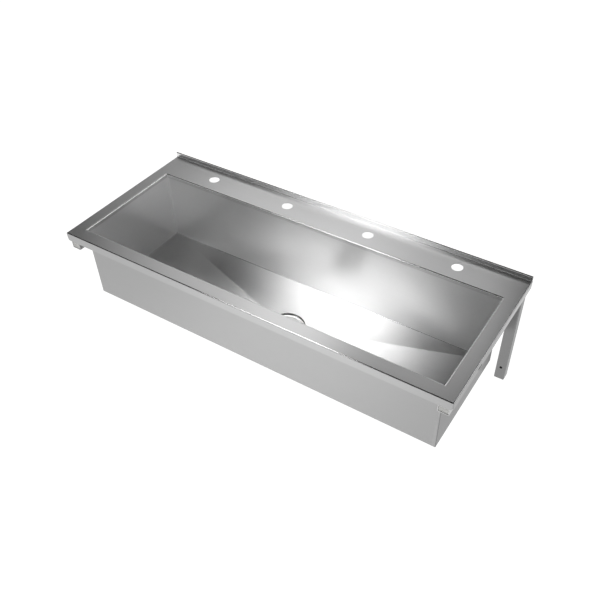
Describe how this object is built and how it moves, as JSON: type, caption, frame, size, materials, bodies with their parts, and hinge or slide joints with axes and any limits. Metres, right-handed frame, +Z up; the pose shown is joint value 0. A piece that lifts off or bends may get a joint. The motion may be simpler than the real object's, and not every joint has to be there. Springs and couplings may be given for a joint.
{
  "type": "trough sink",
  "caption": "Wall-hung stainless steel trough sink: folded deck with a tap ledge and low rear upstand, a long bowl falling to a middle waste, and box-section wall brackets.",
  "frame": {"origin": "centre of the rectangle of wall fixing holes, on the wall plane", "axes": "+X along the trough, +Y into the wall, +Z up"},
  "size_m": [1.2, 0.49, 0.3765],
  "materials": {
    "sheet_steel": "satin brushed stainless sheet",
    "tube_steel": "satin stainless box section",
    "polished_steel": "polished stainless steel",
    "fastener_steel": "plain stainless fasteners",
    "seal_rubber": "black sealing rubber",
    "waste_moulding": "white moulded plastic"
  },
  "bodies": {
    "trough": {"deck": "sheet_steel", "bowl_wrap": "sheet_steel", "bowl_end_left": "sheet_steel", "bowl_end_right": "sheet_steel", "bracket_arm_left": "tube_steel", "bracket_arm_right": "tube_steel", "bracket_leg_left": "tube_steel", "bracket_leg_right": "tube_steel", "arm_cap_left": "tube_steel", "arm_cap_right": "tube_steel", "leg_cap_left": "tube_steel", "leg_cap_right": "tube_steel", "deck_studs": "fastener_steel", "stud_washers": "fastener_steel", "stud_nuts": "fastener_steel", "waste_flange": "polished_steel", "waste_seal_top": "seal_rubber", "waste_seal_bottom": "seal_rubber", "waste_body": "waste_moulding", "outlet_tail": "waste_moulding", "waste_screw": "fastener_steel"},
    "basket": {"basket": "polished_steel", "basket_seal": "seal_rubber", "basket_knob": "polished_steel"}
  },
  "joints": [
    {"name": "basket_lift", "type": "slide", "parent": "trough", "child": "basket", "axis": [0, 0, 1], "range_m": [0, 0.3]}
  ]
}
